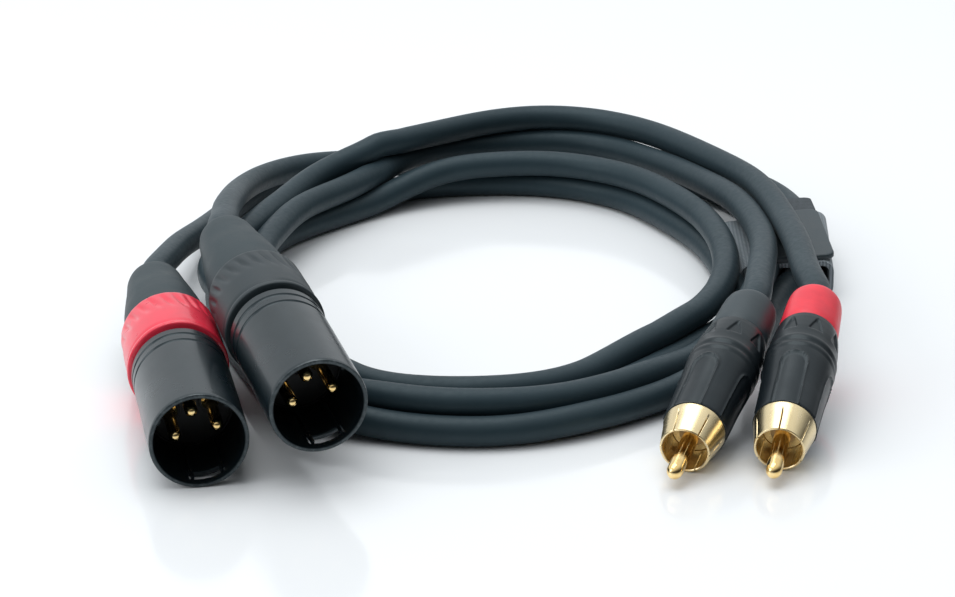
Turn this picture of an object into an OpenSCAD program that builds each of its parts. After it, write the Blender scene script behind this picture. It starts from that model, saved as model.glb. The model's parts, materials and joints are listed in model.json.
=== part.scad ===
// Stereo audio lead: two matched cables, each with a three-pole male plug
// at one end and a phono plug at the other, wound together into an oval
// coil and held by a flat strap. The coil lies on the plane z = 0.

/* [Cable] */
// Outside diameter of each cable
cable_d = 6.0; // [5.5:0.1:6.2]
// Sides of the swept cable
cable_sides = 10; // [8:1:12]

/* [Three-pole plug] */
// Outside radius of the metal shell
xlr_shell_r = 9.5; // [9.3:0.05:9.6]
// Wall thickness of the shell
xlr_wall = 0.9; // [0.7:0.05:1.0]
// Length of the shell from its rim to the neck
xlr_shell_l = 33.6; // [33:0.1:33.8]
// Depth from the rim to the insulator's face
xlr_well = 17; // [15:0.5:18]
// Radius of the circle that the contacts stand on
xlr_pin_circle = 4.1; // [3.9:0.05:4.3]
// Contact radius
xlr_pin_r = 1.2; // [1.1:0.05:1.25]
// Depth from the rim to the contact tips
xlr_tip = 4.3; // [3.5:0.1:6]
// Length of the strain relief boot behind the grip ring
xlr_boot_l = 29.7; // [28:0.1:31]

/* [Phono plug] */
// Radius of the outer contact at its rim
rca_rim_r = 4.9; // [4.7:0.05:5]
// Radius of the centre contact
rca_pin_r = 1.6; // [1.5:0.05:1.65]
// Reach of the centre contact in front of the rim
rca_reach = 8.5; // [7:0.5:10]
// Largest radius of the barrel
rca_barrel_r = 7.2; // [7:0.05:7.3]
// Slots round the outer contact
rca_slots = 6; // [4:1:8]

/* [Strap] */
// Thickness of the strap
strap_t = 1.0; // [0.8:0.1:1.1]
// Radius of the press stud's dimple
stud_r = 5.6; // [4:0.2:6]

/* [Hidden] */
$fn = 64;

cable_r = cable_d / 2;
ring_z0 = 35.1;
ring_z1 = 52.6;
boot_end = ring_z1 + xlr_boot_l;
cap_end = 51;
gap = 0.3;
// where the drawing frame's origin lies in the laid-out coil
org = [2.9, -15, 0];

// plug poses: rim centre, turn about z, tilt above the horizontal, roll
XK = [[-29.5, -86, 16.8], 16.4, 4.8, 74.8];
XR = [[-52, -85.3, 9.5], 11.2, 2.1, 78.6];
RK = [[39.2, -78.4, 4.8], -19, 13.2, 0];
RR = [[57.2, -77.7, 4.8], -13.2, 13.7, 0];

// axis of a plug, from its rim towards the cable
function axis(p) = [-sin(p[1]) * cos(p[2]), cos(p[1]) * cos(p[2]), sin(p[2])];
// point on a plug's axis
function at(p, s) = p[0] + s * axis(p);

// uncoiled stretches, from plug to coil
ROUTE_XK = concat([at(XK, boot_end + gap), at(XK, boot_end + 5)],
  [[-54, 8, 22], [-55, 24, 19.5], [-55, 40, 16.5], [-55, 54, 13.5], [-54, 68, 11.5], [-53, 82, 10],
   [-51, 94, 7], [-45.5, 105, 4], [-37, 112.5, 3], [-28, 116, 3], [-14, 118.5, 3], [-6, 119.5, 3]]);
ROUTE_XR = concat([at(XR, boot_end + gap), at(XR, boot_end + 5)],
  [[-68, 8, 12], [-67, 20, 10.5], [-65.5, 34, 8.5], [-63.5, 46, 6.5], [-61, 59, 4.5], [-57.5, 72, 3],
   [-51.5, 84.5, 3], [-44, 95, 3], [-35, 102.5, 3], [-24, 107.5, 3], [-11, 111, 3], [-4, 112, 3]]);
ROUTE_RK = concat([at(RK, cap_end + gap), at(RK, cap_end + 4)],
  [[58, -16, 16.5], [60, -1.5, 15.5], [61.5, 12, 14.5], [62, 20.5, 14], [61.5, 35.5, 13], [59.5, 50, 12.5],
   [57, 59.5, 12], [51, 78.5, 10], [45, 90, 9.5], [40, 97.5, 9]]);
ROUTE_RR = concat([at(RR, cap_end + gap), at(RR, cap_end + 4)],
  [[68.5, -16, 17.5], [68.5, -5, 17], [68.5, 9, 16.5], [68, 24.5, 15.5], [67, 37.5, 15], [66, 46, 15],
   [63, 62, 14.5], [58, 75, 14], [50, 89.5, 14], [41, 102.5, 14]]);

// stations round the coil: inner x, y, height, then outer x, y, height
COIL = [
  [0, -44, 8, 0, -67, 7], [12, -41.5, 8, 14, -63.5, 7], [23.5, -35, 9, 28, -55.5, 6.5], [34, -22.5, 10, 41.5, -43, 6],
  [41.5, -11, 11, 54.5, -22.5, 6], [47, 0, 11.5, 64, -1, 6], [50.5, 14, 12, 68, 12, 6.5], [51, 28, 11, 74, 27, 6],
  [50, 42, 11, 77, 42, 6.5], [46, 58, 12, 78, 60, 7.5], [37, 77, 12, 75, 82, 6.5], [29.5, 85.5, 12, 67.5, 98, 6.5],
  [22, 90.5, 12.5, 54.5, 109.5, 7.5], [16, 91.5, 14, 37, 119.5, 9], [8, 90, 13, 20, 124, 10], [0, 89, 12.5, 2, 123.5, 10],
  [-8, 87, 12.5, -11, 121.5, 9], [-15, 85, 12, -19, 99.5, 13], [-22, 79, 11.5, -29.5, 91, 13], [-31, 67, 11.5, -41, 76.5, 11],
  [-39, 53, 11.5, -50.5, 61, 9.5], [-44.5, 38, 11.5, -57.5, 42, 9], [-46, 24, 11.5, -59.5, 25, 9], [-45, 8, 11.5, -59, 8, 9],
  [-42, -6, 11, -56, -6, 9], [-37.5, -18, 10.5, -51.5, -19, 8.5], [-31, -30, 9.5, -46.5, -33, 7.5], [-23, -38.5, 9, -37, -48.5, 7],
  [-12, -43.5, 8, -20, -61.5, 7]];

// polar direction in the xy plane
function dir(a) = [cos(a), sin(a)];
function unit(v) = v / norm(v);
// rotation-minimising frame along a list of points: normal at each point
function tangents(p) = [for (i = [0:len(p) - 1]) unit(i == 0 ? p[1] - p[0] : i == len(p) - 1 ? p[i] - p[i - 1]
  : unit(p[i + 1] - p[i]) + unit(p[i] - p[i - 1]))];
function side(t) = unit(cross([0, 0, 1], t));
// Catmull-Rom point between p[i] and p[i + 1]
function pt(p, i) = p[max(0, min(len(p) - 1, i))];
function spline(p, i, t) = 0.5 * ((2 * pt(p, i)) + (pt(p, i + 1) - pt(p, i - 1)) * t
  + (2 * pt(p, i - 1) - 5 * pt(p, i) + 4 * pt(p, i + 1) - pt(p, i + 2)) * t * t
  + (-pt(p, i - 1) + 3 * pt(p, i) - 3 * pt(p, i + 1) + pt(p, i + 2)) * t * t * t);

// closed tube of radius r swept along the points p
module tube(p, r, n) {
  t = tangents(p);
  m = len(p);
  pts = [for (i = [0:m - 1]) let (s = side(t[i]), u = cross(t[i], s))
    for (k = [0:n - 1]) p[i] + r * (cos(360 * (k + 0.5) / n) * s + sin(360 * (k + 0.5) / n) * u)];
  faces = concat([[for (k = [0:n - 1]) k]], [[for (k = [n - 1:-1:0]) (m - 1) * n + k]],
    [for (i = [0:m - 2]) for (k = [0:n - 1]) [i * n + (k + 1) % n, i * n + k, (i + 1) * n + k]],
    [for (i = [0:m - 2]) for (k = [0:n - 1]) [i * n + (k + 1) % n, (i + 1) * n + k, (i + 1) * n + (k + 1) % n]]);
  polyhedron(points = pts, faces = faces, convexity = 6);
}

// closed ring whose section follows the stations
module ring_solid(st) {
  m = len(st);
  n = 8;
  pts = [for (s = st) let (a = [s[0], s[1]], b = [s[3], s[4]], w = unit(b - a), l = norm(b - a))
    for (q = [[1.5, 0], [l - 1.5, 0], [l, 1.8], [l, s[5] - 2.5], [l - 2.5, s[5]], [2.5, s[2]], [0, s[2] - 2.5], [0, 1.8]])
      [a[0] + w[0] * q[0], a[1] + w[1] * q[0], q[1]]];
  faces = [for (i = [0:m - 1]) for (k = [0:n - 1]) let (j = (i + 1) % m, q = (k + 1) % n)
    for (f = [[i * n + k, i * n + q, j * n + k], [i * n + q, j * n + q, j * n + k]]) f];
  polyhedron(points = pts, faces = faces, convexity = 6);
}

// puts a plug, drawn along +z from its rim, in its pose
module place(p) {
  translate(p[0] - org) rotate([p[2] - 90, 0, p[1]]) rotate([0, 0, p[3]]) children();
}

// ---------- three-pole plug ----------

module xlr_shell(p) {
  r = xlr_shell_r;
  b = xlr_shell_r - xlr_wall;
  l = xlr_shell_l;
  color([0.10, 0.11, 0.12]) place(p) {
    difference() {
      rotate_extrude() polygon([[b + 0.15, 0], [r - 0.3, 0], [r, 0.3], [r, 27.1], [r - 0.35, 27.3], [r - 0.35, 27.8], [r, 28],
        [r, 30.3], [r - 0.35, 30.5], [r - 0.35, 31], [r, 31.2], [r, l - 0.3], [r - 0.3, l], [r - 0.8, l + 0.2], [r - 0.8, l + 1.2],
        [7.9, l + 1.2], [7.9, 45.5], [6.9, 45.5], [6.9, l], [b, l], [b, 0.15]]);
      // latch window through the wall near the rim
      translate([b - 1.5, -3.5, 1.8]) cube([4, 7, 3.2]);
    }
    // key rib inside the mouth
    rotate([0, 0, 128]) translate([b - 1, -0.6, 1.5]) cube([1.3, 1.2, xlr_well - 1.6]);
  }
}

module xlr_insert(p) {
  color([0.05, 0.05, 0.055]) place(p) difference() {
    union() {
      translate([0, 0, xlr_well]) cylinder(r = xlr_shell_r - xlr_wall - 0.05, h = l_insert());
      // raised pads round the contacts
      for (a = [90, 180, 270]) rotate([0, 0, a]) translate([xlr_pin_circle, 0, xlr_well - 0.5]) cylinder(r = 2.3, h = 1);
    }
    for (a = [90, 180, 270]) rotate([0, 0, a]) translate([xlr_pin_circle, 0, xlr_well - 1]) cylinder(r = 1.75, h = 20);
  }
}
function l_insert() = xlr_shell_l - 0.1 - xlr_well;

module xlr_pin(p, a) {
  color([0.85, 0.62, 0.2]) place(p) rotate([0, 0, a]) translate([xlr_pin_circle, 0, 0]) difference() {
    union() {
      translate([0, 0, xlr_tip + xlr_pin_r]) sphere(r = xlr_pin_r);
      translate([0, 0, xlr_tip + xlr_pin_r]) cylinder(r = xlr_pin_r, h = xlr_well - 0.6 - xlr_tip - xlr_pin_r);
      translate([0, 0, xlr_well - 0.6]) cylinder(r = 1.7, h = 22.6);
    }
    // solder cup
    translate([0, 0, 36]) cylinder(r = 1.1, h = 4);
  }
}

module xlr_chuck(p) {
  color([0.85, 0.85, 0.82]) place(p) difference() {
    rotate_extrude() polygon([[cable_r + 0.15, 43], [6.0, 43], [6.0, 54], [5.0, 58], [cable_r + 0.15, 58]]);
    for (a = [0, 90]) rotate([0, 0, a]) translate([-7, -0.5, 50]) cube([14, 1, 9]);
  }
}

module xlr_ring(p, c) {
  color(c) place(p) difference() {
    rotate_extrude() polygon([[8.2, ring_z0], [9.9, ring_z0], [10.1, ring_z0 + 0.3], [10.1, ring_z0 + 1.4], [9.85, ring_z0 + 1.7],
      [9.85, ring_z0 + 2], [9.95, ring_z0 + 2.6], [9.95, 45], [9.75, ring_z1 - 0.4], [9.4, ring_z1], [8.2, ring_z1]]);
    for (i = [0:23]) rotate([0, 0, 15 * i]) translate([10.7, 0, 47.2]) rotate([14, -2, 0]) cylinder(r = 1.15, h = 8, $fn = 24);
  }
}

module xlr_boot(p) {
  e = boot_end;
  color([0.13, 0.14, 0.15]) place(p) rotate_extrude() polygon([[6.3, 46.5], [8.15, 46.5], [8.15, ring_z1 + 0.05], [8.75, ring_z1 + 0.05],
    [8.7, 55], [8.45, 59], [8.1, 63], [7.6, 67], [7.05, 71], [6.5, e - 7.5], [6.1, e - 4], [5.75, e - 2], [5.2, e - 0.7], [4.5, e],
    [cable_r + gap, e], [cable_r + gap, 64], [6.3, 59]]);
}

module xlr_cable_end(p) {
  color([0.12, 0.13, 0.14]) place(p) {
    translate([0, 0, 42]) cylinder(r = cable_r, h = boot_end + gap - 42);
    // insulated wires from the jacket to the solder cups
    for (a = [90, 180, 270]) hull() {
      translate([0, 0, 43]) sphere(r = 0.8, $fn = 16);
      rotate([0, 0, a]) translate([xlr_pin_circle, 0, 40]) sphere(r = 0.8, $fn = 16);
    }
  }
}

// ---------- phono plug ----------

module rca_shield(p) {
  color([0.9, 0.68, 0.25]) place(p) difference() {
    rotate_extrude() polygon([[rca_rim_r - 0.55, 0], [rca_rim_r - 0.1, 0], [rca_rim_r, 0.15], [6.06, 6.7], [6.06, 7.2], [4.6, 7.2],
      [4.6, 21], [2.6, 21], [2.6, 7.2], [4.9, 6.4], [4.9, 6]]);
    for (i = [0:rca_slots - 1]) rotate([0, 0, 30 + 360 * i / rca_slots]) translate([2.5, -0.25, -1]) cube([5, 0.5, 6.2]);
  }
}

module rca_pin(p) {
  color([0.95, 0.75, 0.35]) place(p) difference() {
    union() {
      rotate_extrude() polygon(concat([[0, -rca_reach]], [for (a = [15:15:90]) [rca_pin_r * sin(a), -rca_reach + 1.9 * (1 - cos(a))]],
        [[rca_pin_r, 5.5], [0, 5.5]]));
      translate([0, 0, 5.5]) cylinder(r = 1.2, h = 18.5);
    }
    translate([0, 0, 21]) cylinder(r = 0.9, h = 4);
  }
}

module rca_insulator(p) {
  color([0.8, 0.62, 0.35]) place(p) rotate_extrude() polygon([[1.25, 5.55], [2.5, 5.55], [2.5, 20], [1.25, 20]]);
}

module rca_clamp(p) {
  color([0.75, 0.75, 0.72]) place(p) difference() {
    rotate_extrude() polygon([[cable_r + 0.1, 25.5], [3.9, 25.5], [3.9, 37], [cable_r + 0.1, 37]]);
    translate([-5, -0.4, 30]) cube([10, 0.8, 8]);
  }
}

module rca_barrel(p) {
  b = rca_barrel_r;
  color([0.09, 0.10, 0.11]) place(p) difference() {
    rotate_extrude() polygon([[4.9, 7.25], [6.1, 7.25], [6.3, 7.5], [6.45, 12], [6.5, 15], [6.75, 21], [b - 0.2, 24.5], [b - 0.05, 25.8],
      [b, 26.5], [b - 0.25, 27.4], [b - 0.05, 28.2], [b, 29], [b - 0.3, 30], [b - 0.35, 32.5], [6.65, 34.5], [6.1, 38.5], [4.2, 38.5], [4.2, 23], [4.9, 22]]);
    // four shallow thumb flats
    for (a = [0:90:270]) rotate([0, 0, a]) translate([6.55, -2.6, 7]) cube([2, 5.2, 14]);
  }
}

module rca_cap(p, c) {
  color(c) place(p) rotate_extrude() polygon([[4.2, 38.55], [6.05, 38.55], [5.95, 42], [5.75, 46], [5.45, 49], [5.05, 50.4], [4.4, cap_end],
    [cable_r + gap, cap_end], [cable_r + gap, 47], [4.2, 45]]);
}

module rca_cable_end(p) {
  color([0.12, 0.13, 0.14]) place(p) {
    translate([0, 0, 27]) cylinder(r = cable_r, h = cap_end + gap - 27);
    translate([0, 0, 24.1]) cylinder(r = 0.85, h = 3);
  }
}

// ---------- cables ----------

module cable_coil() { color([0.13, 0.14, 0.15]) translate(-org) ring_solid(COIL); }
module lead(r) { color([0.13, 0.14, 0.15]) translate(-org) tube(r, cable_r, cable_sides); }

// ---------- strap ----------

// slice of the strap's outline at y: left x, right x, top heights at the left and right, inset
module strap_slice(y, x0, x1, h0, h1, i) {
  translate([0, y + 0.1, 0]) rotate([90, 0, 0]) linear_extrude(0.1) hull() {
    translate([x0 + 2.5, 2.5]) circle(r = 2.5 - i, $fn = 24);
    translate([x1 - 2.5, 2.5]) circle(r = 2.5 - i, $fn = 24);
    translate([x0 + 2.5, h0 - 2.5]) circle(r = 2.5 - i, $fn = 24);
    translate([x1 - 2.5, h1 - 2.5]) circle(r = 2.5 - i, $fn = 24);
  }
}

module strap_band() {
  color([0.72, 0.75, 0.77]) translate(-org) difference() {
    hull() { strap_slice(22, 57.5, 78, 7.5, 8.4, 0); strap_slice(49, 54.5, 79, 8.8, 11.2, 0); }
    hull() { strap_slice(21.9, 57.5, 78, 7.5, 8.4, strap_t); strap_slice(49.2, 54.5, 79, 8.8, 11.2, strap_t); }
  }
}

// moulded end of the strap with its press stud's dimple
module strap_plate() {
  color([0.11, 0.12, 0.13]) translate([70.3, 35.5, 9.4] - org) rotate([4.9, -4.1, 3]) difference() {
    hull() for (x = [-5.5, 5], y = [-11, 11]) translate([x, y, 0]) cylinder(r = 2, h = 1.1, $fn = 24);
    translate([-2, 0.5, 0.8]) difference() { cylinder(r = stud_r, h = 1); translate([0, 0, -1]) cylinder(r = stud_r - 0.6, h = 3); }
  }
}

// loose end of the strap that shows behind the plate
module strap_flap() {
  color([0.2, 0.21, 0.23]) translate([70, 53.5, 10.3] - org) rotate([2, -3, 3]) hull()
    for (x = [-5, 5], y = [-3.2, 3]) translate([x, y, 0]) cylinder(r = 1.5, h = 0.9, $fn = 24);
}

module xlr_black_shell() { xlr_shell(XK); }
module xlr_black_insert() { xlr_insert(XK); }
module xlr_black_pin_1() { xlr_pin(XK, 90); }
module xlr_black_pin_2() { xlr_pin(XK, 270); }
module xlr_black_pin_3() { xlr_pin(XK, 180); }
module xlr_black_chuck() { xlr_chuck(XK); }
module xlr_black_ring() { xlr_ring(XK, [0.12, 0.13, 0.14]); }
module xlr_black_boot() { xlr_boot(XK); }
module xlr_black_cable_end() { xlr_cable_end(XK); }
module xlr_red_shell() { xlr_shell(XR); }
module xlr_red_insert() { xlr_insert(XR); }
module xlr_red_pin_1() { xlr_pin(XR, 90); }
module xlr_red_pin_2() { xlr_pin(XR, 270); }
module xlr_red_pin_3() { xlr_pin(XR, 180); }
module xlr_red_chuck() { xlr_chuck(XR); }
module xlr_red_ring() { xlr_ring(XR, [0.85, 0.1, 0.16]); }
module xlr_red_boot() { xlr_boot(XR); }
module xlr_red_cable_end() { xlr_cable_end(XR); }
module rca_black_shield() { rca_shield(RK); }
module rca_black_pin() { rca_pin(RK); }
module rca_black_insulator() { rca_insulator(RK); }
module rca_black_clamp() { rca_clamp(RK); }
module rca_black_barrel() { rca_barrel(RK); }
module rca_black_cap() { rca_cap(RK, [0.14, 0.15, 0.16]); }
module rca_black_cable_end() { rca_cable_end(RK); }
module rca_red_shield() { rca_shield(RR); }
module rca_red_pin() { rca_pin(RR); }
module rca_red_insulator() { rca_insulator(RR); }
module rca_red_clamp() { rca_clamp(RR); }
module rca_red_barrel() { rca_barrel(RR); }
module rca_red_cap() { rca_cap(RR, [0.9, 0.12, 0.18]); }
module rca_red_cable_end() { rca_cable_end(RR); }
module lead_xlr_black() { lead(ROUTE_XK); }
module lead_xlr_red() { lead(ROUTE_XR); }
module lead_rca_black() { lead(ROUTE_RK); }
module lead_rca_red() { lead(ROUTE_RR); }

xlr_black_shell();
xlr_black_insert();
xlr_black_pin_1();
xlr_black_pin_2();
xlr_black_pin_3();
xlr_black_chuck();
xlr_black_ring();
xlr_black_boot();
xlr_black_cable_end();
xlr_red_shell();
xlr_red_insert();
xlr_red_pin_1();
xlr_red_pin_2();
xlr_red_pin_3();
xlr_red_chuck();
xlr_red_ring();
xlr_red_boot();
xlr_red_cable_end();
rca_black_shield();
rca_black_pin();
rca_black_insulator();
rca_black_clamp();
rca_black_barrel();
rca_black_cap();
rca_black_cable_end();
rca_red_shield();
rca_red_pin();
rca_red_insulator();
rca_red_clamp();
rca_red_barrel();
rca_red_cap();
rca_red_cable_end();
cable_coil();
lead_xlr_black();
lead_xlr_red();
lead_rca_black();
lead_rca_red();
strap_band();
strap_plate();
strap_flap();
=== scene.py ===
import json
import math

import bmesh
import bpy
import numpy as np
from mathutils import Matrix, Vector


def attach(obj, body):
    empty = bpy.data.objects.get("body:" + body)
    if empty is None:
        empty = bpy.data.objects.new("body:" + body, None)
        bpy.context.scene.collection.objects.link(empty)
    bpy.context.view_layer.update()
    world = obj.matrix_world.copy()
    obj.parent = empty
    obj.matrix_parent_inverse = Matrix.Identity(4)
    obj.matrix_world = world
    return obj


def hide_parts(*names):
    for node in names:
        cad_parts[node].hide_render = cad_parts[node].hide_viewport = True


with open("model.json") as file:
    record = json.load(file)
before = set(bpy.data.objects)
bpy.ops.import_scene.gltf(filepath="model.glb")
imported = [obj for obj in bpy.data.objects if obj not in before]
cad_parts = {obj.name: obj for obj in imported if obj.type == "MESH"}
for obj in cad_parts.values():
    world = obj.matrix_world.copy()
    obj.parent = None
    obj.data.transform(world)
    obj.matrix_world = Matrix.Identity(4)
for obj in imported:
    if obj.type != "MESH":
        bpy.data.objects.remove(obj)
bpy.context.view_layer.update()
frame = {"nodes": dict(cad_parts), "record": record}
MM = 0.001
ORG = np.array([2.9, -15.0, 0.0])
scene = bpy.context.scene

# ------------------------------------------------------------------ camera
cam_data = bpy.data.cameras.new("camera")
cam_data.sensor_fit = "HORIZONTAL"
cam_data.sensor_width = 36.0
cam_data.lens = 3200.0 / 955.0 * 36.0
cam_data.clip_start = 0.01
cam_data.clip_end = 20.0
cam = bpy.data.objects.new("camera", cam_data)
scene.collection.objects.link(cam)
cam.location = ((0 - ORG[0]) * MM, (-640 - ORG[1]) * MM, 234.25 * MM)
cam.rotation_euler = (math.radians(90 - 19.5), 0, 0)
scene.camera = cam
scene.view_settings.view_transform = "Standard"

# ------------------------------------------------------------------ plug poses
# rim centre in mm, turn about z, tilt, roll
POSE = {
    "XK": ((-29.5, -86, 16.8), 16.4, 4.8, 74.8),
    "XR": ((-52, -85.3, 9.5), 11.2, 2.1, 78.6),
    "RK": ((39.2, -78.4, 4.8), -19, 13.2, 0),
    "RR": ((57.2, -77.7, 4.8), -13.2, 13.7, 0),
}


def frame_of(p):
    c, az, el, roll = POSE[p]
    az, el = math.radians(az), math.radians(el)
    x = np.array([math.cos(az), math.sin(az), 0])
    y = np.array([-math.sin(az) * math.sin(el), math.cos(az) * math.sin(el), -math.cos(el)])
    z = np.array([-math.sin(az) * math.cos(el), math.cos(az) * math.cos(el), math.sin(el)])
    return np.array(c, float), x, y, z, math.radians(roll)


def at(p, s):
    c, x, y, z, r = frame_of(p)
    return c + s * z


def place(p, roll=None):
    c, x, y, z, r = frame_of(p)
    if roll is not None:
        r = math.radians(roll)
    m = Matrix.Identity(4)
    for i in range(3):
        m[i][0], m[i][1], m[i][2] = x[i], y[i], z[i]
        m[i][3] = (c[i] - ORG[i]) * MM
    return m @ Matrix.Rotation(r, 4, "Z")


# ------------------------------------------------------------------ cables
EYE = (0, -640, 234.25)
LEAD_XK = [(-54, 8, 22), (-55, 24, 19.5), (-55, 40, 16.5), (-55, 54, 13.5), (-54, 68, 10.8), (-51.5, 79, 9.4),
           (-48, 87.5, 8.2), (-43, 95.5, 7.3), (-36.5, 101.5, 6.2), (-28, 105.5, 5.4), (-18, 109, 4), (-8, 111.8, 3)]
LEAD_XR = [(-68, 8, 12), (-67, 20, 10.5), (-65.5, 34, 8.5), (-63.5, 46, 6.5), (-61.5, 59, 4.5), (-59, 72, 3),
           (-55, 85, 3), (-49, 97, 3), (-41, 106.5, 3), (-31, 113.5, 3), (-20, 118, 3), (-9, 120, 3)]
LEAD_RK = [(58, -16, 16.5), (60, -1.5, 15.5), (61.5, 12, 14.5), (62, 20.5, 14), (61.5, 35.5, 13), (59.5, 50, 12.5),
           (57, 59.5, 12), (51, 78.5, 10), (45, 90, 9.5), (40, 97.5, 9)]
LEAD_RR = [(68.5, -16, 17.5), (68.5, -5, 17), (68.5, 9, 16.5), (68, 24.5, 15.5), (67, 37.5, 15), (66, 46, 15),
           (63, 62, 14.5), (58, 75, 14), (50, 89.5, 14), (41, 102.5, 14)]
TURNS_K = [(4, 113.5, 3), (18, 114, 3), (30, 112, 3), (38, 108.5, 3), (45.5, 103.5, 3), (54.5, 93.5, 3), (61, 85, 3),
           (65.5, 75, 3.5), (68, 64, 4.3), (68.8, 54, 4.4), (68.2, 44, 4.5), (66, 34, 4.8), (63.3, 24, 6),
           (61.3, 14, 7), (59, 5, 7), (56, -5, 6), (51, -16, 4.5), (45, -26.5, 4), (38, -35.4, 5), (31.5, -43, 5.8),
           (25.6, -49.6, 6.3), (14, -57, 6.8), (0, -59.3, 7), (-13.7, -57.7, 7), (-22.6, -53.2, 6.8), (-30, -46.8, 5),
           (-35.5, -39.8, 3.3), (-39.3, -30, 3), (-42.3, -20, 3), (-45.2, -8, 3), (-48, 4, 3), (-50, 16, 3),
           (-50.6, 28, 3), (-49.6, 40, 3), (-46.6, 52, 3), (-41.5, 61, 3), (-34.5, 69.5, 3), (-27.6, 77.3, 3),
           (-20, 84.5, 4.3), (-13.5, 88.5, 6.4), (-6, 91.5, 8.2), (5.5, 92.8, 8.6), (15, 94.2, 8.8), (29.5, 88, 8.8),
           (39, 78.7, 8.8), (48.8, 59.6, 8.8), (53, 42.5, 9), (54.3, 26.4, 9), (53.2, 11.2, 8.8), (50, -1, 8.3),
           (44.5, -13, 8), (38, -22, 7.5), (26, -36.5, 6), (19, -42.3, 5.5), (9.6, -45.8, 5), (0, -47.3, 5),
           (-9, -47.3, 5), (-18.8, -44.6, 5), (-25.5, -39.3, 5), (-31, -32.5, 6), (-35.5, -24, 7.5), (-39.5, -13, 8.5),
           (-43.5, -1.5, 9), (-46.3, 10, 9), (-47.6, 22, 9), (-46.8, 34, 9), (-44.5, 45, 8.8), (-40.8, 59.5, 8.7),
           (-34.5, 68.5, 8.7), (-28.5, 77.5, 8.8), (-23.5, 87, 9.2), (-18.6, 95.5, 9.2), (-6.7, 107, 8.8),
           (5.5, 110.5, 8.6), (17.8, 113, 8.6), (30.5, 109.4, 8.5)]
TURNS_R = [(2, 120.5, 3), (18, 121, 3), (32, 119, 3), (44, 114, 3), (54, 107, 3), (62, 100, 3), (67.5, 94, 3),
           (70.7, 87.5, 3), (73, 78, 3.5), (74.7, 66, 4.3), (75.2, 55, 4.4), (74.8, 45, 4.4), (73.5, 34, 4.2), (69, 23, 3.4),
           (64.5, 12, 3), (62.5, 4.5, 3), (58.5, -8, 3), (53, -20, 3), (47, -31, 3), (41, -40, 3), (35, -46.5, 3),
           (24, -54.5, 3), (13, -61, 3), (4, -64, 3), (-5, -64, 3), (-13, -62.5, 3), (-23, -58, 3), (-30, -52.5, 3),
           (-36.5, -45.5, 3), (-42, -37, 3), (-46.5, -26.5, 3), (-50.5, -14, 3), (-54, 0, 3), (-56, 14, 3),
           (-56.5, 28, 3), (-55.5, 40, 3), (-53, 51, 3), (-47.5, 62, 3), (-39, 74, 3), (-30, 83.5, 3), (-19, 91.5, 3),
           (-7, 95.5, 3), (5.3, 96.5, 3), (17.8, 95.3, 3), (33.6, 85.5, 3), (43.5, 69.6, 3), (50.7, 53, 3), (54.2, 36, 3),
           (55, 27, 3), (56.3, 19, 3), (57, 11, 3), (56.5, 3, 3), (53, -6, 3), (47.5, -15, 3), (41.5, -23, 3),
           (35, -30.3, 3), (28.5, -38, 3), (22, -45.5, 3), (13, -51.5, 3), (4, -54.3, 3), (-5, -54.4, 3),
           (-13, -52.8, 3), (-22, -48.3, 3.2), (-29, -42.8, 4.8), (-35, -36.5, 7.2), (-40.5, -28.5, 9), (-45, -19, 9),
           (-49.3, -9.5, 8.6), (-53, -1, 8.2), (-56.5, 8, 8.3), (-57.8, 17, 8.6), (-56.3, 28, 9), (-52.5, 39, 9),
           (-48.5, 51, 9.3), (-43.4, 63.7, 9.8), (-39.8, 73, 10.5), (-34.9, 81.5, 11), (-28, 87.5, 12.3),
           (-18.6, 93, 14.1), (-6.7, 104.1, 14), (5.5, 111.5, 14.2), (18.3, 113.9, 14.3), (30.4, 111, 14)]

CABLE_R = 3.0
BOOT_END, CAP_END = 82.3, 51.0
route_k = [at("XK", 76), at("XK", 82), at("XK", 87)] + LEAD_XK + TURNS_K + LEAD_RK[::-1] + [at("RK", 55), at("RK", 51), at("RK", 46)]
route_r = [at("XR", 76), at("XR", 82), at("XR", 87)] + LEAD_XR + TURNS_R + LEAD_RR[::-1] + [at("RR", 55), at("RR", 51), at("RR", 46)]


def spline(points, step):
    """Points every step mm along a Catmull-Rom curve through the given ones."""
    p = np.array(points, float)
    p = np.vstack([2 * p[0] - p[1], p, 2 * p[-1] - p[-2]])
    out = []
    for i in range(1, len(p) - 2):
        a, b, c, d = p[i - 1], p[i], p[i + 1], p[i + 2]
        for k in range(12):
            t = k / 12
            out.append(0.5 * (2 * b + (c - a) * t + (2 * a - 5 * b + 4 * c - d) * t * t + (3 * b - a - 3 * c + d) * t ** 3))
    out.append(p[-2])
    out = np.array(out)
    s = np.concatenate([[0], np.cumsum(np.linalg.norm(np.diff(out, axis=0), axis=1))])
    n = int(round(s[-1] / step))
    w = np.linspace(0, s[-1], n + 1)
    return np.stack([np.interp(w, s, out[:, i]) for i in range(3)], 1)


def even(q, times, fixed):
    """Takes the unevenness out of a line without shrinking it."""
    for i in range(times):
        for w in (0.5, -0.51):
            m = q.copy()
            m[1:-1] = q[1:-1] + w * 0.5 * (q[2:] + q[:-2] - 2 * q[1:-1])
            m[:fixed], m[-fixed:] = q[:fixed], q[-fixed:]
            q = m
    return q


def spread(v, times):
    for _ in range(times):
        v[1:-1] = v[1:-1] * 0.5 + (v[2:] + v[:-2]) * 0.25
    return v


def stiffen(q, times, free):
    """Lets the line straighten its small bends the way a springy cable does."""
    for _ in range(times):
        m = np.zeros_like(q)
        m[1:-1] = q[2:] + q[:-2] - 2 * q[1:-1]
        e = np.zeros_like(q)
        e[1:-1] = m[2:] + m[:-2] - 2 * m[1:-1]
        q = q - 0.06 * e * free[:, None]
    return q


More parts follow.
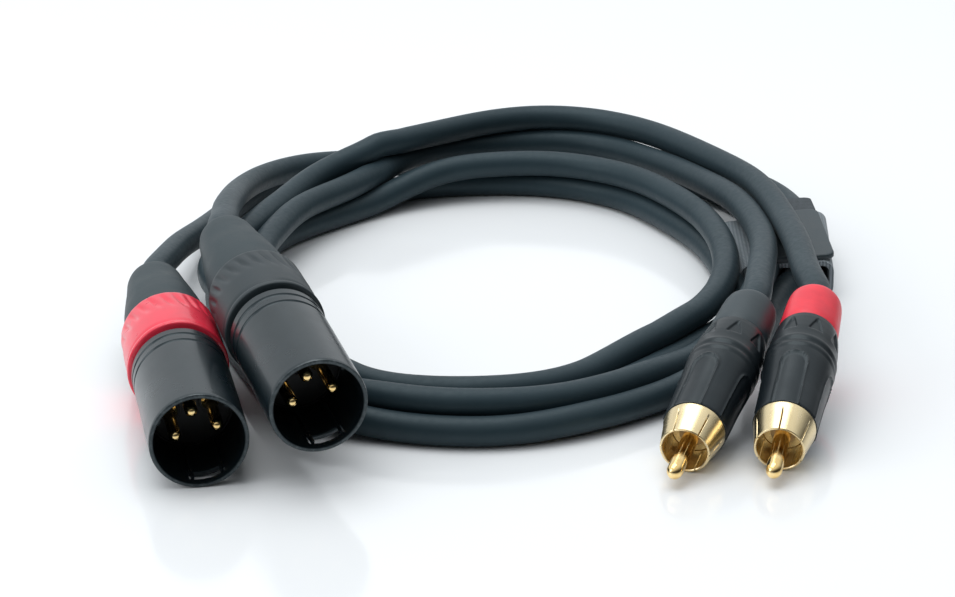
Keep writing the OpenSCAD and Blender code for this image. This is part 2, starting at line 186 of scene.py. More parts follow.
def settle(a, b):
    """Moves the two cables apart where they would lie in each other, and keeps them on the floor."""
    n = len(a)
    q = np.vstack([a, b])
    aim = q.copy()
    ray = aim - np.array(EYE)
    ray /= np.linalg.norm(ray, axis=1)[:, None]
    idx = np.arange(len(q))
    which = (idx >= n).astype(int)
    near = (np.abs(idx[:, None] - idx[None]) < 12) & (which[:, None] == which[None])
    free = np.ones(len(q))
    for lo, hi, s in ((0, 8, 1), (n - 8, n, -1), (n, n + 8, 1), (len(q) - 8, len(q), -1)):
        free[lo:hi] = (np.linspace(0, 1, hi - lo) ** 2)[::s]
    for it in range(150):
        d = q[:, None] - q[None]
        r = np.sqrt((d * d).sum(2))
        r[near] = 99
        over = np.clip(2 * CABLE_R - 0.1 - r, 0, None)
        push = (d * (over / np.maximum(r, 0.5))[:, :, None]).sum(1) / np.maximum((over > 0).sum(1), 1)[:, None]
        if it < 135:
            push = np.vstack([spread(push[:n], 8), spread(push[n:], 8)])
        q = q + 0.55 * push * free[:, None]
        low = np.clip(CABLE_R - q[:, 2], 0, None)
        if it < 135:
            low = np.concatenate([spread(low[:n], 4), spread(low[n:], 4)])
        q[:, 2] += low
        if it < 135:
            back = aim - q
            back -= ray * (back * ray).sum(1)[:, None]
            q = q + 0.12 * back * free[:, None]
            q = np.vstack([stiffen(q[:n], 5, free[:n]), stiffen(q[n:], 5, free[n:])])
    q[:, 2] = np.maximum(q[:, 2], CABLE_R)
    return q[:n], q[n:]


path_k = even(spline(route_k, 3.0), 40, 6)
path_r = even(spline(route_r, 3.0), 40, 6)
path_k, path_r = settle(path_k, path_r)


def cable(name, path):
    """Smooth mesh tube along the path, closed at both ends."""
    fine = spline(path, 1.5)
    sides = 28
    t = np.gradient(fine, axis=0)
    t /= np.linalg.norm(t, axis=1)[:, None]
    side = np.cross(t, (0, 0, 1.0))
    side /= np.linalg.norm(side, axis=1)[:, None]
    up = np.cross(side, t)
    a = np.linspace(0, 2 * math.pi, sides, endpoint=False)
    ring = np.cos(a)[None, :, None] * side[:, None] + np.sin(a)[None, :, None] * up[:, None]
    v = ((fine[:, None] + CABLE_R * ring - ORG) * MM).reshape(-1, 3)
    n = len(fine)
    faces = [(i * sides + k, i * sides + (k + 1) % sides, (i + 1) * sides + (k + 1) % sides, (i + 1) * sides + k)
             for i in range(n - 1) for k in range(sides)]
    faces += [tuple(range(sides - 1, -1, -1)), tuple((n - 1) * sides + k for k in range(sides))]
    me = bpy.data.meshes.new(name)
    me.from_pydata([tuple(map(float, q)) for q in v], [], faces)
    me.update()
    for f in me.polygons:
        f.use_smooth = len(f.vertices) == 4
    ob = bpy.data.objects.new(name, me)
    scene.collection.objects.link(ob)
    return ob, float(np.linalg.norm(np.diff(fine, axis=0), axis=1).sum()) * MM, (fine - ORG) * MM


cord_k, len_k, line_k = cable("cable_black", path_k)
cord_r, len_r, line_r = cable("cable_red", path_r)
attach(cord_k, "cable_set")
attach(cord_r, "cable_set")
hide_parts("cable_coil", "lead_xlr_black", "lead_rca_black")
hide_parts("lead_xlr_red", "lead_rca_red")
print("cable lengths", round(len_k, 4), round(len_r, 4))

# ------------------------------------------------------------------ materials


class Nodes:
    """Small helper that builds one procedural material."""

    def __init__(self, name):
        self.m = bpy.data.materials.new(name)
        self.m.use_nodes = True
        self.t = self.m.node_tree
        self.t.nodes.clear()
        self.out = self.t.nodes.new("ShaderNodeOutputMaterial")
        self.b = self.t.nodes.new("ShaderNodeBsdfPrincipled")
        self.t.links.new(self.b.outputs[0], self.out.inputs[0])
        self.co = self.t.nodes.new("ShaderNodeTexCoord").outputs["Object"]

    def link(self, a, b):
        self.t.links.new(a, b)

    def noise(self, scale, detail=3.0, rough=0.5, stretch=None):
        n = self.t.nodes.new("ShaderNodeTexNoise")
        n.inputs["Scale"].default_value = scale
        n.inputs["Detail"].default_value = detail
        n.inputs["Roughness"].default_value = rough
        src = self.co
        if stretch:
            mp = self.t.nodes.new("ShaderNodeMapping")
            mp.inputs["Scale"].default_value = stretch
            self.link(src, mp.inputs["Vector"])
            src = mp.outputs[0]
        self.link(src, n.inputs["Vector"])
        return n.outputs[0]

    def ramp(self, fac, stops):
        r = self.t.nodes.new("ShaderNodeValToRGB")
        while len(r.color_ramp.elements) < len(stops):
            r.color_ramp.elements.new(0.5)
        for e, (p, c) in zip(r.color_ramp.elements, stops):
            e.position = p
            e.color = tuple(c) + (1,) if len(c) == 3 else c
        self.link(fac, r.inputs[0])
        return r.outputs[0]

    def value(self, fac, lo, hi, a=0.3, b=0.7):
        m = self.t.nodes.new("ShaderNodeMapRange")
        m.inputs["From Min"].default_value = a
        m.inputs["From Max"].default_value = b
        m.inputs["To Min"].default_value = lo
        m.inputs["To Max"].default_value = hi
        self.link(fac, m.inputs["Value"])
        return m.outputs[0]

    def bump(self, height, strength, distance):
        n = self.t.nodes.new("ShaderNodeBump")
        n.inputs["Strength"].default_value = strength
        n.inputs["Distance"].default_value = distance
        self.link(height, n.inputs["Height"])
        self.link(n.outputs[0], self.b.inputs["Normal"])

    def mix(self, fac, a, b):
        n = self.t.nodes.new("ShaderNodeMix")
        n.data_type = "RGBA"
        self.link(fac, n.inputs[0])
        for v, i in ((a, 6), (b, 7)):
            if isinstance(v, (tuple, list)):
                n.inputs[i].default_value = tuple(v) + (1,)
            else:
                self.link(v, n.inputs[i])
        return n.outputs[2]


def two_tone(name, c0, c1, rough, metallic=0.0, scale=300, bump=(0.1, 0.0001, 2500), coat=0.0, spec=0.5, stretch=None, coat_rough=0.1):
    k = Nodes(name)
    n = k.noise(scale, 4, 0.55, stretch)
    k.link(k.ramp(n, [(0.35, c0), (0.65, c1)]), k.b.inputs["Base Color"])
    k.link(k.value(n, rough[0], rough[1]), k.b.inputs["Roughness"])
    k.b.inputs["Metallic"].default_value = metallic
    k.b.inputs["Specular IOR Level"].default_value = spec
    k.b.inputs["Coat Weight"].default_value = coat
    k.b.inputs["Coat Roughness"].default_value = coat_rough
    if bump:
        k.bump(k.noise(bump[2], 3, 0.6, stretch), bump[0], bump[1])
    return k.m


def cable_mat():
    k = Nodes("jacket")
    n = k.noise(60, 4, 0.6)
    fine = k.noise(900, 3, 0.6)
    base = k.ramp(n, [(0.3, (0.014, 0.028, 0.036)), (0.7, (0.019, 0.035, 0.044))])
    k.link(base, k.b.inputs["Base Color"])
    k.link(k.value(fine, 0.44, 0.56), k.b.inputs["Roughness"])
    k.b.inputs["Specular IOR Level"].default_value = 0.36
    k.b.inputs["Specular Tint"].default_value = (0.80, 0.95, 1.0, 1)
    k.b.inputs["Sheen Weight"].default_value = 0.03
    k.b.inputs["Sheen Roughness"].default_value = 0.4
    k.bump(k.noise(420, 4, 0.65), 0.12, 0.0002)
    return k.m


def lacquer(name, c0, c1, rough, wear=None, wear_z=None):
    """Black lacquer; wear_z is the local height below which the edge is worn to grey metal, and when it is given the
    bore inside the mouth is also painted darker as painted shade.
    """
    k = Nodes(name)
    n = k.noise(220, 5, 0.6)
    base = k.ramp(n, [(0.35, c0), (0.65, c1)])
    if wear_z:
        sep = k.t.nodes.new("ShaderNodeSeparateXYZ")
        k.link(k.co, sep.inputs[0])
        edge = k.value(sep.outputs[2], 1.0, 0.0, wear_z * 0.4, wear_z)
        chips = k.value(k.noise(1100, 4, 0.7), 0.15, 1.0, 0.45, 0.7)
        mul = k.t.nodes.new("ShaderNodeMath")
        mul.operation = "MULTIPLY"
        k.link(edge, mul.inputs[0])
        k.link(chips, mul.inputs[1])
        base = k.mix(mul.outputs[0], base, wear)
    rough_out = k.value(k.noise(90, 4, 0.6), rough[0], rough[1])
    if wear_z:
        # the bore is matt, and its colour is painted darker than the turned outside as painted shade inside the mouth
        flat = k.t.nodes.new("ShaderNodeVectorMath")
        flat.operation = "MULTIPLY"
        flat.inputs[1].default_value = (1, 1, 0)
        k.link(k.co, flat.inputs[0])
        ln = k.t.nodes.new("ShaderNodeVectorMath")
        ln.operation = "LENGTH"
        k.link(flat.outputs[0], ln.inputs[0])
        outside = k.value(ln.outputs["Value"], 0.0, 1.0, 0.0087, 0.0089)
        base = k.mix(outside, (0.004, 0.007, 0.009), base)
        k.link(k.value(outside, 0.22, 0.42, 0.0, 1.0), k.b.inputs["Specular IOR Level"])
        k.link(k.value(outside, 0.0, 0.2, 0.0, 1.0), k.b.inputs["Coat Weight"])
    else:
        k.b.inputs["Coat Weight"].default_value = 0.05
        k.b.inputs["Specular IOR Level"].default_value = 0.32
    k.b.inputs["Specular Tint"].default_value = (0.80, 0.95, 1.0, 1)
    k.link(base, k.b.inputs["Base Color"])
    k.link(rough_out, k.b.inputs["Roughness"])
    k.b.inputs["Coat Roughness"].default_value = 0.12
    k.bump(k.noise(1800, 3, 0.6), 0.06, 0.00005)
    return k.m


MAT = {
    "cable_jacket": cable_mat(),
    "boot_rubber": two_tone("boot", (0.026, 0.040, 0.046), (0.034, 0.050, 0.057), (0.50, 0.62), scale=200, bump=(0.2, 0.0002, 2600), spec=0.35),
    "shell_lacquer": lacquer("shell", (0.004, 0.009, 0.012), (0.007, 0.013, 0.017), (0.26, 0.34), (0.07, 0.082, 0.088), 0.0004),
    "barrel_lacquer": lacquer("barrel", (0.006, 0.009, 0.012), (0.009, 0.013, 0.016), (0.30, 0.40)),
    "ring_black": two_tone("ring_black", (0.018, 0.028, 0.033), (0.025, 0.036, 0.042), (0.40, 0.50), scale=240, bump=(0.15, 0.0001, 2600), spec=0.4),
    "ring_red": two_tone("ring_red", (0.80, 0.022, 0.055), (0.88, 0.032, 0.070), (0.26, 0.36), scale=260, bump=(0.08, 0.0001, 2200), coat=0.25),
    "cap_black": two_tone("cap_black", (0.022, 0.036, 0.043), (0.030, 0.046, 0.054), (0.42, 0.52), scale=240, bump=(0.15, 0.0001, 2600)),
    "cap_red": two_tone("cap_red", (0.80, 0.020, 0.045), (0.90, 0.030, 0.055), (0.34, 0.44), scale=260, bump=(0.08, 0.0001, 2200)),
    "contact_gold": two_tone("gold", (0.95, 0.66, 0.26), (1.0, 0.76, 0.38), (0.10, 0.20), metallic=1.0, scale=500, bump=(0.05, 0.00005, 3000)),
    "phono_gold": two_tone("phono_gold", (0.84, 0.67, 0.38), (0.92, 0.76, 0.47), (0.20, 0.32), metallic=1.0, scale=400, bump=(0.10, 0.00005, 2600), stretch=(1, 1, 0.2)),
    "insert_plastic": two_tone("insert", (0.006, 0.007, 0.008), (0.010, 0.011, 0.012), (0.45, 0.6), scale=240, bump=(0.2, 0.0001, 2000)),
    "phono_insulator": two_tone("insulator", (0.60, 0.42, 0.20), (0.72, 0.52, 0.28), (0.3, 0.45), scale=300),
    "chuck_plastic": two_tone("chuck", (0.70, 0.70, 0.68), (0.8, 0.8, 0.78), (0.4, 0.5), scale=200),
    "clamp_steel": two_tone("clamp", (0.50, 0.50, 0.49), (0.62, 0.62, 0.60), (0.25, 0.4), metallic=1.0, scale=500),
    "strap_plate": two_tone("strap_plate", (0.024, 0.038, 0.046), (0.034, 0.051, 0.060), (0.38, 0.5), scale=300, bump=(0.2, 0.0001, 2200)),
    "strap_flap": two_tone("strap_flap", (0.05, 0.06, 0.068), (0.075, 0.088, 0.098), (0.8, 0.9), scale=900, bump=(0.5, 0.0004, 3500)),
}


def weave_mat(name, c0, c1):
    k = Nodes(name)
    wx = k.t.nodes.new("ShaderNodeTexWave")
    wy = k.t.nodes.new("ShaderNodeTexWave")
    for w, d in ((wx, "X"), (wy, "Y")):
        w.bands_direction = d
        w.inputs["Scale"].default_value = 420
        w.inputs["Distortion"].default_value = 0.6
        w.inputs["Detail"].default_value = 1.0
        k.link(k.co, w.inputs["Vector"])
    mul = k.t.nodes.new("ShaderNodeMath")
    mul.operation = "MULTIPLY"
    k.link(wx.outputs["Fac"], mul.inputs[0])
    k.link(wy.outputs["Fac"], mul.inputs[1])
    k.link(k.ramp(mul.outputs[0], [(0.0, c0), (0.8, c1)]), k.b.inputs["Base Color"])
    k.link(k.value(k.noise(400, 3), 0.75, 0.9), k.b.inputs["Roughness"])
    k.b.inputs["Sheen Weight"].default_value = 0.2
    k.bump(mul.outputs[0], 0.5, 0.0003)
    return k.m


MAT["strap_band"] = weave_mat("strap_band", (0.16, 0.19, 0.21), (0.30, 0.34, 0.37))

slot_of = {s["node"]: s["material_slot"] for s in frame["record"]["subparts"]}
for name, ob in frame["nodes"].items():
    ob.data.materials.clear()
    ob.data.materials.append(MAT[slot_of[name]])
for ob in (cord_k, cord_r):
    ob.data.materials.append(MAT["cable_jacket"])

# ------------------------------------------------------------------ mesh helpers


def finish_mesh(name, bm, mat, angle=32):
    bmesh.ops.recalc_face_normals(bm, faces=bm.faces)
    lim = math.radians(angle)
    for f in bm.faces:
        f.smooth = True
    for e in bm.edges:
        e.smooth = not (len(e.link_faces) == 2 and e.calc_face_angle(0) > lim)
    me = bpy.data.meshes.new(name)
    bm.to_mesh(me)
    bm.free()
    ob = bpy.data.objects.new(name, me)
    scene.collection.objects.link(ob)
    me.materials.append(mat)
    return ob


def rounded(profile, radius=0.12, n=3):
    """Rounds the corners of a closed profile of (r, z) by a small radius."""
    out = []
    m = len(profile)
    for i in range(m):
        a, b, c = (np.array(profile[j % m][:2], float) for j in (i - 1, i, i + 1))
        la, lc = np.linalg.norm(a - b), np.linalg.norm(c - b)
        ua, uc = (a - b) / max(la, 1e-9), (c - b) / max(lc, 1e-9)
        turn = math.acos(max(-1, min(1, float(-(ua @ uc)))))
        if b[0] < 1e-6 or turn < 0.15:
            out.append(tuple(b))
            continue
        d = min(radius, 0.45 * la, 0.45 * lc)
        for t in np.linspace(0, 1, n + 1):
            out.append(tuple((1 - t) ** 2 * (b + ua * d) + 2 * t * (1 - t) * b + t ** 2 * (b + uc * d)))
    return out


def divide(profile, step):
    """Adds points so that no side of the closed profile is longer than step."""
    out = []
    m = len(profile)
    for i in range(m):
        a, b = np.array(profile[i], float), np.array(profile[(i + 1) % m], float)
        k = max(1, int(math.ceil(np.linalg.norm(b - a) / step)))
        out += [tuple(a + (b - a) * j / k) for j in range(k)]
    return out


def lathe(name, profile, mat, seg=128, shape=None, angle=32):
    """Turned solid from a closed profile in mm; shape(r, z, angle) may change each point's radius."""
    bm = bmesh.new()
    rings = []
    for r, z in profile:
        if r < 1e-6:
            rings.append([bm.verts.new((0, 0, z * MM))] * seg)
            continue
        row = []
        for i in range(seg):
            t = 2 * math.pi * i / seg
            q = shape(r, z, t) if shape else r
            row.append(bm.verts.new((q * math.cos(t) * MM, q * math.sin(t) * MM, z * MM)))
        rings.append(row)
    m = len(rings)
    for i in range(m):
        a, b = rings[i], rings[(i + 1) % m]
        if a[0] is a[1] and b[0] is b[1]:
            continue
        for k in range(seg):
            vs = [a[k], b[k], b[(k + 1) % seg], a[(k + 1) % seg]]
            uniq = []
            for v in vs:
                if v not in uniq:
                    uniq.append(v)
            if len(uniq) > 2:
                bm.faces.new(uniq)
    return finish_mesh(name, bm, mat, angle)


def put(ob, p, body, node, roll=None):
    ob.matrix_world = place(p, roll)
    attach(ob, body)
    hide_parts(node)
    return ob


def cut(ob, size, centre, turn=0.0):
    """Cuts a box out of ob, in its own frame, in mm."""
    bm = bmesh.new()
    bmesh.ops.create_cube(bm, size=1.0)
    bm.transform(Matrix.Rotation(turn, 4, "Z") @ Matrix.Translation(Vector(centre) * MM) @ Matrix.Diagonal(Vector([s * MM for s in size] + [1])))
    me = bpy.data.meshes.new("cutter")
    bm.to_mesh(me)
    bm.free()
    c = bpy.data.objects.new("cutter", me)
    scene.collection.objects.link(c)
    md = ob.modifiers.new("cut", "BOOLEAN")
    md.object = c
    md.operation = "DIFFERENCE"
    md.solver = "EXACT"
    bpy.context.view_layer.objects.active = ob
    bpy.context.view_layer.update()
    bpy.ops.object.modifier_apply(modifier="cut")
    bpy.data.objects.remove(c)
    bpy.data.meshes.remove(me)
    for f in ob.data.polygons:
        f.use_smooth = True


def wave(x):
    """0..1 bump on -1..1, flat at both ends."""
    return 0.5 + 0.5 * math.cos(math.pi * max(-1.0, min(1.0, x)))


# ------------------------------------------------------------------ three-pole plugs
def xlr(tag, p, colour):
    b = "xlr_%s_" % tag
    nut = "xlr_%s_nut" % tag
    prof = [(8.6, 33.6), (6.9, 33.6), (6.9, 45.5), (7.9, 45.5), (7.9, 34.8), (8.7, 34.8), (8.7, 33.8), (9.2, 33.6), (9.5, 33.3),
            (9.5, 31.3), (9.3, 31.1), (9.15, 30.85), (9.15, 30.6), (9.3, 30.4), (9.5, 30.2), (9.5, 28.1), (9.3, 27.9), (9.15, 27.65),
            (9.15, 27.4), (9.3, 27.2), (9.5, 27.0), (9.5, 5.6), (9.5, 1.2), (9.5, 0.3), (9.42, 0.08), (9.2, 0.0), (8.85, 0.0), (8.66, 0.08), (8.6, 0.25), (8.6, 1.2), (8.6, 5.6), (8.6, 17)]
    shell = lathe(b + "shell_body", prof, MAT["shell_lacquer"], 160)
    cut(shell, (3.0, 7.0, 3.2), (9.0, 0, 3.4))
    put(shell, p, "cable_set", b + "shell")
    # key rib and guide ribs inside the mouth
    for i, (ang, w) in enumerate(((128, 1.3), (232, 0.7), (20, 0.7), (340, 0.7))):
        bm = bmesh.new()
        bmesh.ops.create_cube(bm, size=1.0)
        bmesh.ops.bevel(bm, geom=bm.edges[:], offset=0.12, segments=2, affect="EDGES")
        bm.transform(Matrix.Rotation(math.radians(ang), 4, "Z") @ Matrix.Translation(Vector((8.3, 0, 9.2)) * MM) @ Matrix.Diagonal(Vector((0.9 * MM, w * MM, 15.4 * MM, 1))))
        rib = finish_mesh(b + "rib_%d" % i, bm, MAT["shell_lacquer"])
        put(rib, p, "cable_set", b + "shell")

    # insert with raised pads round the pins, a raised centre and an outer ridge
    prof = [(0, 17.3), (1.2, 17.3), (1.3, 17.0), (2.6, 17.0), (7.6, 17.0), (7.7, 17.4), (8.1, 17.4), (8.2, 17.0), (8.5, 17.0), (8.5, 33.4), (0, 33.4)]
    ins = lathe(b + "insert_body", prof, MAT["insert_plastic"], 96)
    put(ins, p, "cable_set", b + "insert")
    for i, a in enumerate((90, 270, 180)):
        t = math.radians(a)
        off = Matrix.Translation(Vector((4.1 * math.cos(t), 4.1 * math.sin(t), 0)) * MM)
        tip = [(1.2 * math.sin(x), 4.3 + 1.2 * (1 - math.cos(x))) for x in np.linspace(0, math.pi / 2, 9)]
        pin = lathe(b + "contact_%d" % (i + 1), tip + [(1.2, 16.3), (1.7, 16.5), (1.7, 38.8), (1.1, 38.8), (1.1, 36.2), (0, 36.0)], MAT["contact_gold"], 40)
        pin.data.transform(off)
        put(pin, p, "cable_set", b + "pin_%d" % (i + 1))
        pad = lathe(b + "pad_%d" % (i + 1), rounded([(1.72, 17.1), (1.72, 16.5), (2.25, 16.5), (2.4, 17.1)], 0.1), MAT["insert_plastic"], 40)
        pad.data.transform(off)
        put(pad, p, "cable_set", b + "insert")

    # grip ring: a rolled front bead and slanted finger dimples
    dim = 24

    def flute(r, z, t):
        if r < 9.2 or z < 43.0:
            return r
        u = (z - 43.6) / 8.6
        if u <= 0 or u >= 1.06:
            return r
        ph = (t + 0.030 * (z - 48)) * dim / (2 * math.pi)
        x = (ph - math.floor(ph) - 0.5) * 2 / 0.72
        return r - 0.42 * wave(x) * wave((u - 0.55) / 0.55)

    zs = [(r, z) for z, r in ((43.0, 9.95), (43.6, 9.95))] + [(9.95 - 0.18 * (z - 43.6) / 8.6, z) for z in np.linspace(44.2, 52.0, 18)]
    prof = [(8.2, 35.1), (9.7, 35.1), (9.93, 35.18), (10.08, 35.4), (10.1, 35.75), (10.08, 36.15), (9.98, 36.45), (9.84, 36.6),
            (9.78, 36.85), (9.82, 37.15), (9.92, 37.5), (9.95, 38.2)] + zs + [(9.72, 52.3), (9.6, 52.5), (9.4, 52.6), (8.2, 52.6)]
    ring = lathe(b + "grip_ring", prof, MAT["ring_" + colour], 288, flute, 40)
    put(ring, p, nut, b + "ring")

    # boot
    e = BOOT_END
    prof = [(8.15, 47), (8.15, 52.66), (8.55, 52.66), (8.7, 52.75), (8.75, 53.0), (8.68, 55), (8.45, 59), (8.1, 63), (7.6, 67), (7.05, 71), (6.6, 74),
            (6.25, 77), (5.95, 79.5), (5.65, 80.8), (5.3, 81.6), (4.85, 82.1), (4.3, e), (3.7, e), (3.35, 82.1), (3.3, 81.5), (3.3, 60), (6.2, 57), (6.2, 47)]
    boot = lathe(b + "boot_body", prof, MAT["boot_rubber"], 96, angle=50)
    put(boot, p, nut, b + "boot")


xlr("black", "XK", "black")
xlr("red", "XR", "red")


# ------------------------------------------------------------------ phono plugs
def arch(x, z):
    """Raised outline of a thumb panel: distance in mm from an upside-down U, 5.2 mm wide."""
    h = 2.6
    top = 20.6
    if z > top:
        d = abs(math.hypot(x, (z - top) * 0.9) - h)
    else:
        d = abs(abs(x) - h)
    return d


def rca(tag, p, colour, roll, slot_roll):
    b = "rca_%s_" % tag
    sl = "rca_%s_sleeve" % tag
    # outer contact, slotted
    prof = [(4.33, 6.3), (4.36, 0.4), (4.42, 0.12), (4.55, 0.0), (4.78, 0.0), (4.9, 0.1), (4.93, 0.3), (5.25, 2.2), (5.6, 4.2), (5.95, 6.2), (6.1, 6.85), (6.1, 7.15), (6.0, 7.22), (4.6, 7.22), (4.6, 21), (2.6, 21), (2.6, 6.6), (4.2, 6.5)]
    sh = lathe(b + "outer_contact", prof, MAT["phono_gold"], 144)
    for i in range(6):
        cut(sh, (3.0, 0.3, 6.0), (5.2, 0, 2.0), math.radians(60 * i))
    put(sh, p, "cable_set", b + "shield", slot_roll)
    tip = [(1.6 * math.sin(x) ** 0.9, -8.5 + 2.0 * (1 - math.cos(x))) for x in np.linspace(0, math.pi / 2, 10)]
    pin = lathe(b + "centre_contact", tip + [(1.6, 5.4), (1.2, 5.5), (1.2, 24), (0.9, 24), (0.9, 21), (0, 21)], MAT["contact_gold"], 56)
    put(pin, p, "cable_set", b + "pin")
    ins = lathe(b + "insulator_body", [(1.25, 5.55), (2.55, 5.55), (2.55, 20), (1.25, 20)], MAT["phono_insulator"], 48)
    put(ins, p, "cable_set", b + "insulator")

    # barrel: four thumb panels, two ring ridges, notches behind
    top = math.radians(-90 + roll)

    def form(r, z, t):
        if r < 5.4:
            return r
        out = r
        q = (t - top + math.pi / 4) % (math.pi / 2) - math.pi / 4
        x = q * r
        if 7.3 < z < 25.5:
            d = arch(x, z)
            line = math.exp(-((d / 0.30) ** 2))
            strength = 0.13 if z < 19 else 0.20
            out += strength * line
            inside = (abs(x) < 2.6) if z <= 20.6 else (math.hypot(x, (z - 20.6) * 0.9) < 2.6)
            if inside:
                out -= 0.16
        # notches behind the ridges, two to each panel
        if 31.5 < z < 37.5:
            a8 = (t - top) % (math.pi / 4) - math.pi / 8
            u = (z - 32.2) / 4.8
            if 0 < u < 1:
                half = 1.5 * (1 - u)
                y = abs(a8 * r)
                if y < half + 0.25:
                    out -= 0.42 * min(1.0, (half + 0.25 - y) / 0.3) * min(1, (1 - u) * 4) * min(1, u * 8)
        return out

    body = [(6.05, 7.25), (6.25, 7.3), (6.33, 7.5), (6.38, 9), (6.45, 12), (6.5, 15), (6.62, 18), (6.8, 21), (6.98, 24), (7.02, 25.2)]
    ridge = [(7.0, 25.6), (7.12, 26.0), (7.19, 26.4), (7.15, 26.9), (7.0, 27.25), (6.93, 27.6), (6.95, 27.9), (7.08, 28.3), (7.18, 28.7), (7.18, 29.1),
             (7.05, 29.6), (6.95, 30.0), (6.92, 31.5)]
    tail = [(6.85, 33), (6.65, 35), (6.4, 37), (6.15, 38.3), (6.05, 38.5), (4.2, 38.5), (4.2, 23), (4.9, 22), (4.9, 7.25)]
    prof = divide(body, 0.45)[: -1]
    # divide() closes the loop, so the stretch back to the start is dropped
    k = max(i for i, q in enumerate(prof) if q[1] > 24.9)
    prof = [q for q in prof[: k + 1]]
    first = next(i for i, q in enumerate(prof) if abs(q[1] - 25.2) < 1e-6)
    prof = prof[: first + 1] + ridge
    seg = []
    for a, c in zip([(6.92, 31.5)] + tail[:3], tail[:4]):
        n = 6
        seg += [(a[0] + (c[0] - a[0]) * j / n, a[1] + (c[1] - a[1]) * j / n) for j in range(1, n + 1)]
    prof = prof + seg + tail[4:]
    bar = lathe(b + "barrel_body", prof, MAT["barrel_lacquer"], 360, form, 38)
    put(bar, p, sl, b + "barrel", 0)
    prof = [(4.2, 38.55), (5.85, 38.55), (6.0, 38.6), (6.05, 38.8), (5.98, 41), (5.85, 44), (5.7, 47), (5.55, 49), (5.35, 50), (5.0, 50.65), (4.5, 50.95),
            (4.0, 51.0), (3.6, 50.9), (3.35, 50.6), (3.32, 49.5), (3.32, 47), (4.2, 45)]
    cap = lathe(b + "end_cap", prof, MAT["cap_" + colour], 96, angle=50)
    put(cap, p, sl, b + "cap", 0)


rca("black", "RK", "black", -11, -90 - 24)
rca("red", "RR", "red", 0, -90)

# ------------------------------------------------------------------ strap


def band():
    """Woven loop round the strands, with soft edges."""
    bm = bmesh.new()
    ny, inner, rings = 26, [], []
    for iy in range(ny + 1):
        t = iy / ny
        y = 22 + 27 * t
        x0, x1 = 57.5 + (54.5 - 57.5) * t, 78 + t
        h0, h1 = 7.5 + 1.3 * t, 8.4 + 2.8 * t
        pts = []
        for (cx, cz, a0, a1) in ((x1 - 2.5, 2.5, -90, 0), (x1 - 2.5, h1 - 2.5, 0, 90), (x0 + 2.5, h0 - 2.5, 90, 180), (x0 + 2.5, 2.5, 180, 270)):
            for a in np.linspace(a0, a1, 7):
                pts.append((cx, cz, a))
        rings.append((y, pts))
    grid_o, grid_i = [], []
    edge = 0.0
    for y, pts in rings:
        ro, ri = [], []
        for cx, cz, a in pts:
            c, s = math.cos(math.radians(a)), math.sin(math.radians(a))
            ro.append(bm.verts.new(((cx + 2.5 * c - ORG[0]) * MM, (y - ORG[1]) * MM, (cz + 2.5 * s) * MM)))
            ri.append(bm.verts.new(((cx + 1.5 * c - ORG[0]) * MM, (y - ORG[1]) * MM, (cz + 1.5 * s) * MM)))
        grid_o.append(ro)
        grid_i.append(ri)
    n = len(grid_o[0])
    for i in range(ny):
        for k in range(n):
            j = (k + 1) % n
            bm.faces.new((grid_o[i][k], grid_o[i][j], grid_o[i + 1][j], grid_o[i + 1][k]))
            bm.faces.new((grid_i[i][k], grid_i[i + 1][k], grid_i[i + 1][j], grid_i[i][j]))
    for k in range(n):
        j = (k + 1) % n
        bm.faces.new((grid_o[0][k], grid_i[0][k], grid_i[0][j], grid_o[0][j]))
        bm.faces.new((grid_o[ny][k], grid_o[ny][j], grid_i[ny][j], grid_i[ny][k]))
    ob = finish_mesh("strap_loop", bm, MAT["strap_band"], 60)
    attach(ob, "cable_set")
    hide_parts("strap_band")
    return ob


strap = band()


def slab(name, cx, cy, z0, z1, hx, hy, r, tilt, mat, node, stud=None):
    """Rounded plate with eased edges and an optional pressed ring, in its own tilted frame."""
    bm = bmesh.new()
    nx, nyy = 72, 104
    grid = {}

    def inside(x, y):
        dx, dy = max(abs(x) - (hx - r), 0), max(abs(y) - (hy - r), 0)
        return r - math.hypot(dx, dy)

    top = []
    n = 96
    out = []
    for i in range(n):
        a = 2 * math.pi * i / n
        c, s = math.cos(a), math.sin(a)
        sx, sy = (1 if c >= 0 else -1), (1 if s >= 0 else -1)
        out.append((sx * (hx - r) + r * c, sy * (hy - r) + r * s))
    levels = [(0.0, z0), (0.0, z1 - 0.3), (0.1, z1 - 0.1), (0.3, z1)]
    fac = [1.0]
    rows = []
    for inset, z in levels:
        rows.append([bm.verts.new((x * (1 - inset / hx), y * (1 - inset / hy), z)) for x, y in out])
    steps = 40
    for k in range(1, steps):
        f = 1 - k / steps
        row = []
        for x, y in out:
            px, py = x * (1 - 0.3 / hx) * f, y * (1 - 0.3 / hy) * f
            z = z1
            if stud:
                d = math.hypot(px - stud[0], py - stud[1])
                z += 0.28 * math.exp(-(((d - stud[2]) / 0.55) ** 2)) - (0.25 if d < stud[2] - 0.5 else 0)
            row.append(bm.verts.new((px, py, z)))
        rows.append(row)
    centre = bm.verts.new((0, 0, z1 - (0.25 if stud else 0)))
    low = bm.verts.new((0, 0, z0))
    for a, b in zip(rows, rows[1:]):
        for i in range(n):
            bm.faces.new((a[i], a[(i + 1) % n], b[(i + 1) % n], b[i]))
    for i in range(n):
        bm.faces.new((rows[-1][i], rows[-1][(i + 1) % n], centre))
        bm.faces.new((rows[0][(i + 1) % n], rows[0][i], low))
    bm.transform(Matrix.Scale(MM, 4))
    ob = finish_mesh(name, bm, mat, 50)
    ob.matrix_world = Matrix.Translation(Vector(((cx - ORG[0]) * MM, (cy - ORG[1]) * MM, 0))) @ tilt
    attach(ob, "cable_set")
    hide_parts(node)
    return ob


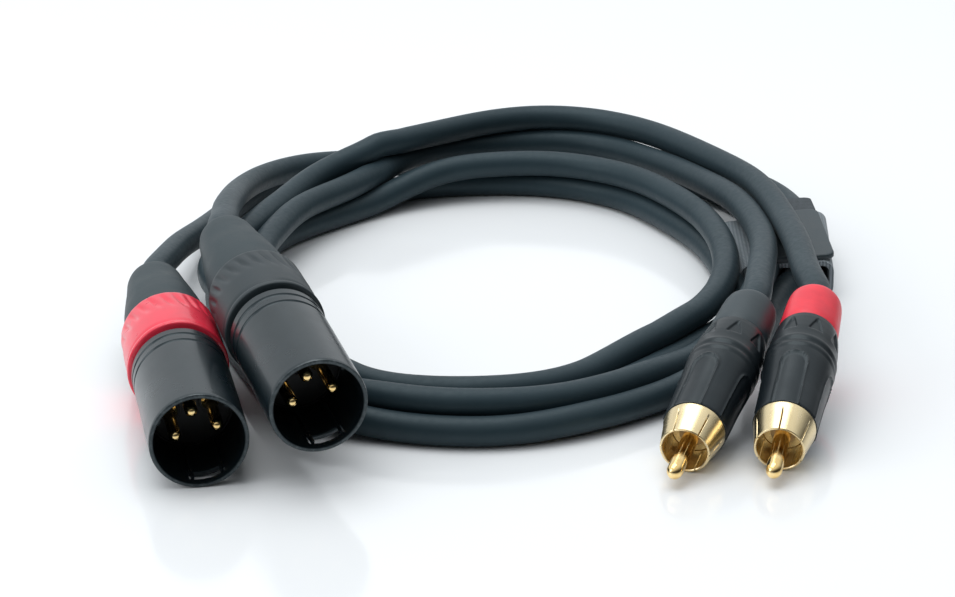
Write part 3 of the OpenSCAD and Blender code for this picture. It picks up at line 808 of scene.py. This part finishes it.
def rot(x, y, z, lift):
    return (Matrix.Translation((0, 0, lift * MM)) @ Matrix.Rotation(math.radians(z), 4, "Z") @ Matrix.Rotation(math.radians(y), 4, "Y")
            @ Matrix.Rotation(math.radians(x), 4, "X"))


plate = slab("strap_end_plate", 70.3, 35.5, 0.0, 1.1, 7.25, 13, 2.0, rot(4.9, -4.1, 3, 9.4), MAT["strap_plate"], "strap_plate", (-1.8, 0.5, 5.4))
flap = slab("strap_loose_end", 70.0, 53.5, 0.0, 0.9, 6.5, 4.6, 1.5, rot(2, -3, 3, 10.3), MAT["strap_flap"], "strap_flap")

# ------------------------------------------------------------------ floor and light
bm = bmesh.new()
bmesh.ops.create_grid(bm, x_segments=1, y_segments=1, size=3.0)
floor = finish_mesh("floor", bm, MAT["chuck_plastic"])
floor.data.materials.clear()
k = Nodes("floor")
k.b.inputs["Base Color"].default_value = (0.93, 0.94, 0.95, 1)
k.link(k.value(k.noise(30, 3), 0.10, 0.16), k.b.inputs["Roughness"])
k.b.inputs["Specular IOR Level"].default_value = 0.5
floor.data.materials.append(k.m)
floor.location = (0, 0, -0.00005)

world = bpy.data.worlds.new("studio")
scene.world = world
world.use_nodes = True
bg = world.node_tree.nodes["Background"]
# a soft tent: bright above, behind and to the left, dark towards the front and the right
nt = world.node_tree
co = nt.nodes.new("ShaderNodeTexCoord")
dot = nt.nodes.new("ShaderNodeVectorMath")
dot.operation = "DOT_PRODUCT"
dot.inputs[1].default_value = (-0.35, 0.42, 0.84)
nt.links.new(co.outputs["Generated"], dot.inputs[0])
tent = nt.nodes.new("ShaderNodeMapRange")
tent.interpolation_type = "SMOOTHSTEP"
tent.inputs["From Min"].default_value = -0.15
tent.inputs["From Max"].default_value = 0.6
tent.inputs["To Min"].default_value = 0.05
tent.inputs["To Max"].default_value = 0.90
nt.links.new(dot.outputs["Value"], tent.inputs["Value"])
nt.links.new(tent.outputs["Result"], bg.inputs[1])
bg.inputs[0].default_value = (0.93, 0.97, 1.0, 1)


def area(name, loc, target, size, power, color=(1, 1, 1)):
    d = bpy.data.lights.new(name, "AREA")
    d.shape = "RECTANGLE"
    d.size, d.size_y = size
    d.energy = power
    d.color = color
    o = bpy.data.objects.new(name, d)
    scene.collection.objects.link(o)
    o.location = loc
    o.rotation_euler = (Vector(target) - Vector(loc)).to_track_quat("-Z", "Y").to_euler()
    return o


area("top", (-0.15, 0.15, 0.9), (0, 0.02, 0), (0.9, 0.7), 4.3, (0.97, 0.99, 1.0))
area("left", (-0.9, -0.35, 0.5), (0, 0, 0.02), (0.5, 0.6), 2.0, (0.97, 0.99, 1.0))
